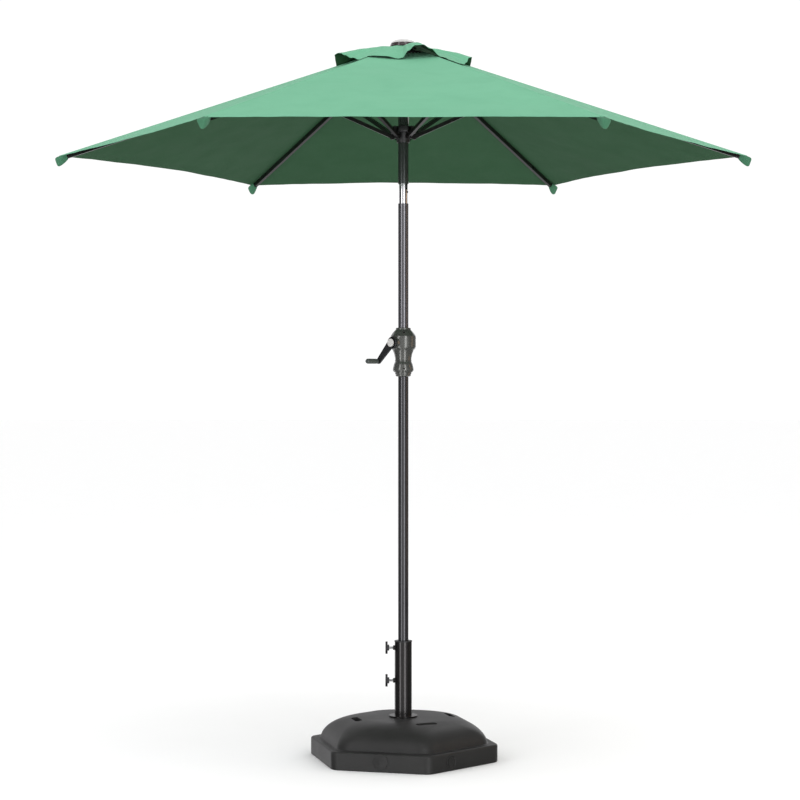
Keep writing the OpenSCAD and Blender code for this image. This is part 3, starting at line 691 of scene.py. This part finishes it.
def lathe(name, profile, place, material, steps=64, body="base"):
    """A closed turned piece from (radius, height) points, placed by a matrix."""
    verts, faces = [], []
    for r, z in profile:
        for n in range(steps):
            a = 2 * math.pi * n / steps
            verts.append(place @ Vector((r * math.cos(a), r * math.sin(a), z)))
    rows = len(profile)
    faces = grid_faces(rows, steps, closed=True)
    faces += [tuple(steps * (rows - 1) + n for n in range(steps)), tuple(reversed(range(steps)))]
    piece = mesh_object(name, verts, faces, [material], math.radians(35))
    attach(piece, body)
    return piece


def on_face(degrees, shift, z):
    """A place on the rim's flat face: its Z axis points out of the face."""
    out = turned((BASE_R * math.cos(HALF), shift, 0), math.radians(degrees))
    turn = Matrix.Rotation(math.radians(degrees), 4, "Z") @ Matrix.Rotation(math.radians(90), 4, "Y")
    return Matrix.Translation((out.x, out.y, z)) @ turn


# a round moulded boss with a dimple in the front face, and the raised ring round the filler plug
BOSS_PROFILE = ((0.0285, -0.002), (0.0285, 0.0008), (0.0278, 0.0016), (0.0262, 0.0020), (0.0246, 0.0016),
                (0.0240, 0.0009), (0.0100, 0.0007), (0.0090, 0.0003), (0.0050, -0.0004), (0.0010, -0.0006))
lathe("base_boss", BOSS_PROFILE, on_face(255, 0.0, 0.036), base_plastic)

plug_low, plug_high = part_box("fill_plug")
plug_middle = (plug_low + plug_high) / 2
plug_shift = turned(plug_middle, math.radians(-315)).y
RING_PROFILE = ((0.0190, -0.002), (0.0245, -0.002), (0.0245, 0.0010), (0.0238, 0.0019), (0.0226, 0.0022),
                (0.0214, 0.0019), (0.0206, 0.0010), (0.0190, 0.0006))


def ring_piece(name, profile, place, material, steps=72, body="base"):
    """A turned ring: the profile closes on itself."""
    verts = []
    for r, z in profile:
        for n in range(steps):
            a = 2 * math.pi * n / steps
            verts.append(place @ Vector((r * math.cos(a), r * math.sin(a), z)))
    rows = len(profile)
    faces = grid_faces(rows, steps, closed=True)
    faces += [((rows - 1) * steps + n, (rows - 1) * steps + (n + 1) % steps, (n + 1) % steps, n)
              for n in range(steps)]
    piece = mesh_object(name, verts, faces, [material], math.radians(35))
    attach(piece, body)
    return piece


ring_piece("filler_ring", RING_PROFILE, on_face(315, plug_shift, plug_middle.z), base_plastic)


# the dished black collar between the crank housing and the arm turns with the crank
axle_low, axle_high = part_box("crank_axle")
CRANK_TURN = JOINTS["crank_turn"]
crank_axis = Vector(CRANK_TURN["axis"]).normalized()
if crank_axis.dot((axle_low + axle_high) / 2 - Vector(CRANK_TURN["pos_m"])) < 0:
    crank_axis = -crank_axis
crank_place = (Matrix.Translation((0, 0, CRANK_TURN["pos_m"][2]))
               @ crank_axis.to_track_quat("Z", "Y").to_matrix().to_4x4())
COLLAR_PROFILE = ((0.0060, 0.0585), (0.0200, 0.0585), (0.0214, 0.0592), (0.0220, 0.0606), (0.0218, 0.0622),
                  (0.0208, 0.0634), (0.0192, 0.0638), (0.0176, 0.0630), (0.0160, 0.0618), (0.0060, 0.0616))
ring_piece("crank_collar", COLLAR_PROFILE, crank_place, black_plastic, body="crank")


# ---------- lift cord between the pulley and the runner ----------

fall_low, fall_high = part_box("lift_cord_fall")
FALL_ROWS, FALL_SIDES = 160, 12


def cord_fall():
    """A braided cord, its strands bulging round it in turn."""
    middle = (fall_low + fall_high) / 2
    radius = (fall_high.x - fall_low.x) / 2
    verts = []
    for r in range(FALL_ROWS + 1):
        z = mix(fall_low.z, fall_high.z, r / FALL_ROWS)
        for n in range(FALL_SIDES):
            a = 2 * math.pi * n / FALL_SIDES
            bulge = 0.94 + 0.06 * math.cos(4 * a + z * 900) * math.cos(4 * a - z * 900)
            verts.append((middle.x + radius * bulge * math.cos(a),
                          middle.y + radius * bulge * math.sin(a), z))
    last = FALL_ROWS * FALL_SIDES
    faces = grid_faces(FALL_ROWS + 1, FALL_SIDES, closed=True)
    faces += [tuple(reversed(range(FALL_SIDES))), tuple(range(last, last + FALL_SIDES))]
    piece = mesh_object("lift_cord_fall_braid", verts, faces, [cord_white], math.radians(60))
    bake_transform(piece)
    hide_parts("lift_cord_fall")


cord_fall()


# ---------- smoother CAD nodes ----------

def round_edges(name, width, segments=3, angle=35):
    """Small rounds on a CAD node's edges, which keep its shape."""
    node = NODES[name]
    modifier(node, "WELD", merge_threshold=0.00002)
    modifier(node, "BEVEL", width=width, segments=segments, limit_method="ANGLE",
             angle_limit=math.radians(angle), harden_normals=True, use_clamp_overlap=True)


for node_name in ("crank_front_cover", "crank_rear_cover"):
    round_edges(node_name, 0.0012)
for node_name in ("lower_knob", "upper_knob"):
    round_edges(node_name, 0.0009)
round_edges("runner", 0.0006)


# ---------- floor, lights and world ----------

def floor():
    paint = Paint("floor_paper", Roughness=0.9, Specular_IOR_Level=0.1)
    grain = paint.noise(3, detail=4)
    paint.base(paint.colour(grain, (0.965, 0.965, 0.965), (0.975, 0.975, 0.975), 0.3, 0.7))
    paint.bump(paint.noise(400, detail=2), 0.0002, 0.2)
    size = 80
    sheet = mesh_object("floor", [(-size, -size, 0), (size, -size, 0), (size, size, 0), (-size, size, 0)],
                        [(0, 1, 2, 3)], [paint.material])
    sheet.location.z = base_low.z - 0.0005
    sheet.visible_glossy = False


def softbox(name, place, aim, size, power, colour=(1, 1, 1), gloss=False):
    data = bpy.data.lights.new(name, "AREA")
    data.shape = "RECTANGLE"
    data.size, data.size_y = size
    data.energy = power
    data.color = colour
    light = bpy.data.objects.new(name, data)
    light.location = place
    light.rotation_mode = "QUATERNION"
    light.rotation_quaternion = (Vector(aim) - Vector(place)).to_track_quat("-Z", "Y")
    light.visible_glossy = gloss
    bpy.context.scene.collection.objects.link(light)


WORLD_WHITE = 1.04
# a band of light in the gloss: where it stands as X over depth, half widths of its core and edge, strength
LEFT_BAND = (-0.92, 0.10, 0.34, 3.4)
RIGHT_BAND = (0.42, 0.05, 0.24, 4.0)
BAND_BEHIND = 0.3  # share of the bands' strength behind the object


def studio_world():
    """White all round; glossy rays see a dim studio with two tall bands of light, weaker behind."""
    world = bpy.data.worlds.new("studio")
    world.use_nodes = True
    tree = world.node_tree

    def node(kind, inputs, **settings):
        made = tree.nodes.new("ShaderNode" + kind)
        for key, value in settings.items():
            setattr(made, key, value)
        for key, value in inputs.items():
            if isinstance(value, bpy.types.NodeSocket):
                tree.links.new(value, made.inputs[key])
            else:
                made.inputs[key].default_value = value
        return made

    def calc(operation, a, b=0.0):
        return node("Math", {0: a, 1: b}, operation=operation).outputs["Value"]

    def fade(value, start, stop, low, high):
        ends = {"Value": value, "From Min": start, "From Max": stop, "To Min": low, "To Max": high}
        return node("MapRange", ends, interpolation_type="SMOOTHSTEP").outputs["Result"]

    def band(place, core, edge, strength):
        return fade(calc("ABSOLUTE", calc("SUBTRACT", aside, place)), core, edge, strength, 0.0)

    white = tree.nodes["Background"]
    white.inputs["Color"].default_value = (1, 1, 1, 1)
    white.inputs["Strength"].default_value = WORLD_WHITE
    direction = tree.nodes.new("ShaderNodeTexCoord").outputs["Generated"]
    axes = node("SeparateXYZ", {"Vector": direction}).outputs
    depth = calc("ABSOLUTE", axes["Y"])
    aside = calc("DIVIDE", axes["X"], calc("MAXIMUM", depth, 0.001))
    ambient = fade(depth, 0.40, 0.95, 0.10, 0.62)
    front = fade(axes["Y"], -0.1, 0.1, 1.0, BAND_BEHIND)
    bands = calc("MULTIPLY", calc("ADD", band(*LEFT_BAND), band(*RIGHT_BAND)), front)
    studio = node("Background", {"Color": (0.99, 0.985, 1.0, 1), "Strength": calc("ADD", ambient, bands)})
    either = node("MixShader", {0: tree.nodes.new("ShaderNodeLightPath").outputs["Is Glossy Ray"],
                                1: white.outputs["Background"], 2: studio.outputs["Background"]})
    tree.links.new(either.outputs["Shader"], tree.nodes["World Output"].inputs["Surface"])
    bpy.context.scene.world = world


floor()
studio_world()
softbox("strip_left", (-3.2, -3.2, 1.9), (0, 0, 1.2), (0.7, 3.2), 36, (0.94, 0.93, 1.0))
softbox("strip_right", (1.75, -4.3, 1.9), (0, 0, 1.2), (0.6, 3.2), 40)
softbox("strip_back", (2.6, 4.2, 1.9), (0, 0, 1.2), (0.7, 3.2), 14)
softbox("top", (0.4, -1.5, 6.5), (0, 0, 2.0), (4.0, 4.0), 75)
softbox("warm_edge", (3.6, -0.2, 1.6), (0, 0, 1.4), (0.4, 2.6), 7, (1.0, 0.62, 0.35), gloss=True)

bpy.context.scene.view_settings.view_transform = "Standard"
